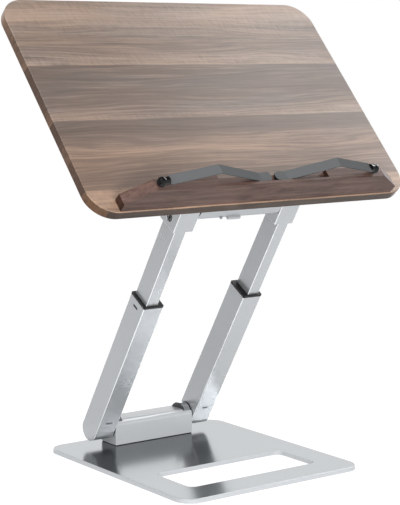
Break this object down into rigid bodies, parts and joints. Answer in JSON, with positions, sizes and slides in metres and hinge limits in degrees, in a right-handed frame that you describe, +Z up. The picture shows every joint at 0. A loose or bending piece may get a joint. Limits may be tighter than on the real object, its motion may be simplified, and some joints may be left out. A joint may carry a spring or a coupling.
{
  "type": "book stand",
  "caption": "Folding book stand with a metal base plate, telescopic legs between friction hinges, and a tilting wooden panel with a ledge and swinging page clips.",
  "frame": {"origin": "centre of the base plate, on the surface that the stand rests on", "axes": "+X to the reader's right, +Y away from the reader, +Z up"},
  "size_m": [0.365, 0.2488, 0.448],
  "materials": {
    "base_steel": "fine satin silver",
    "leg_aluminium": "satin anodised silver",
    "fastener_steel": "plain steel",
    "black_steel": "black oxide",
    "black_plastic": "moulded black",
    "pad_rubber": "soft black",
    "panel_wood": "grey-brown veneer with a horizontal grain",
    "ledge_wood": "darker brown veneer",
    "clip_steel": "grey coated spring strip",
    "ball_plastic": "gloss black"
  },
  "bodies": {
    "base": {"base_plate": "base_steel", "base_pads": "pad_rubber", "base_block": "leg_aluminium", "block_seat": "pad_rubber", "base_screws": "fastener_steel", "lower_shaft": "fastener_steel", "lower_drum_left": "leg_aluminium", "lower_drum_right": "leg_aluminium", "lower_washers": "black_plastic"},
    "lower_legs": {"outer_tube_left": "leg_aluminium", "outer_tube_right": "leg_aluminium", "foot_core_left": "black_plastic", "foot_core_right": "black_plastic", "collar_left": "black_plastic", "collar_right": "black_plastic"},
    "upper_legs": {"inner_tube_left": "leg_aluminium", "inner_tube_right": "leg_aluminium", "guide_shoe_left": "black_plastic", "guide_shoe_right": "black_plastic", "brake_button_left": "black_plastic", "brake_button_right": "black_plastic", "upper_bracket_left": "leg_aluminium", "upper_bracket_right": "leg_aluminium", "bracket_bolts": "black_steel"},
    "panel": {"reading_panel": "panel_wood", "ledge": "ledge_wood", "ledge_screws": "fastener_steel", "mount_plate": "leg_aluminium", "mount_screws": "fastener_steel", "tilt_block": "leg_aluminium", "tilt_screws": "fastener_steel", "upper_shaft": "fastener_steel", "upper_drum_left": "leg_aluminium", "upper_drum_right": "leg_aluminium", "upper_washers": "black_plastic", "tilt_stop": "leg_aluminium", "tilt_stop_screw": "black_steel", "clip_bush_left": "black_plastic", "clip_bush_right": "black_plastic"},
    "left_clip": {"clip_strip_left": "clip_steel", "clip_ball_left": "ball_plastic"},
    "right_clip": {"clip_strip_right": "clip_steel", "clip_ball_right": "ball_plastic"}
  },
  "joints": [
    {"name": "leg_fold", "type": "hinge", "parent": "base", "child": "lower_legs", "pos_m": [0, 0.0941, 0.0238], "axis": [-1, 0, 0], "range_deg": [-53, 25]},
    {"name": "leg_extend", "type": "slide", "parent": "lower_legs", "child": "upper_legs", "axis": [0, -0.5299, 0.848], "range_m": [-0.085, 0.015]},
    {"name": "panel_tilt", "type": "hinge", "parent": "upper_legs", "child": "panel", "pos_m": [0, -0.05438, 0.26142], "axis": [1, 0, 0], "range_deg": [-105, 40]},
    {"name": "left_clip_swing", "type": "hinge", "parent": "panel", "child": "left_clip", "pos_m": [-0.0073, -0.10811, 0.28624], "axis": [0, 0.742, -0.6704], "range_deg": [0, 90]},
    {"name": "right_clip_swing", "type": "hinge", "parent": "panel", "child": "right_clip", "pos_m": [0.0073, -0.10811, 0.28624], "axis": [0, -0.742, 0.6704], "range_deg": [0, 90]}
  ]
}
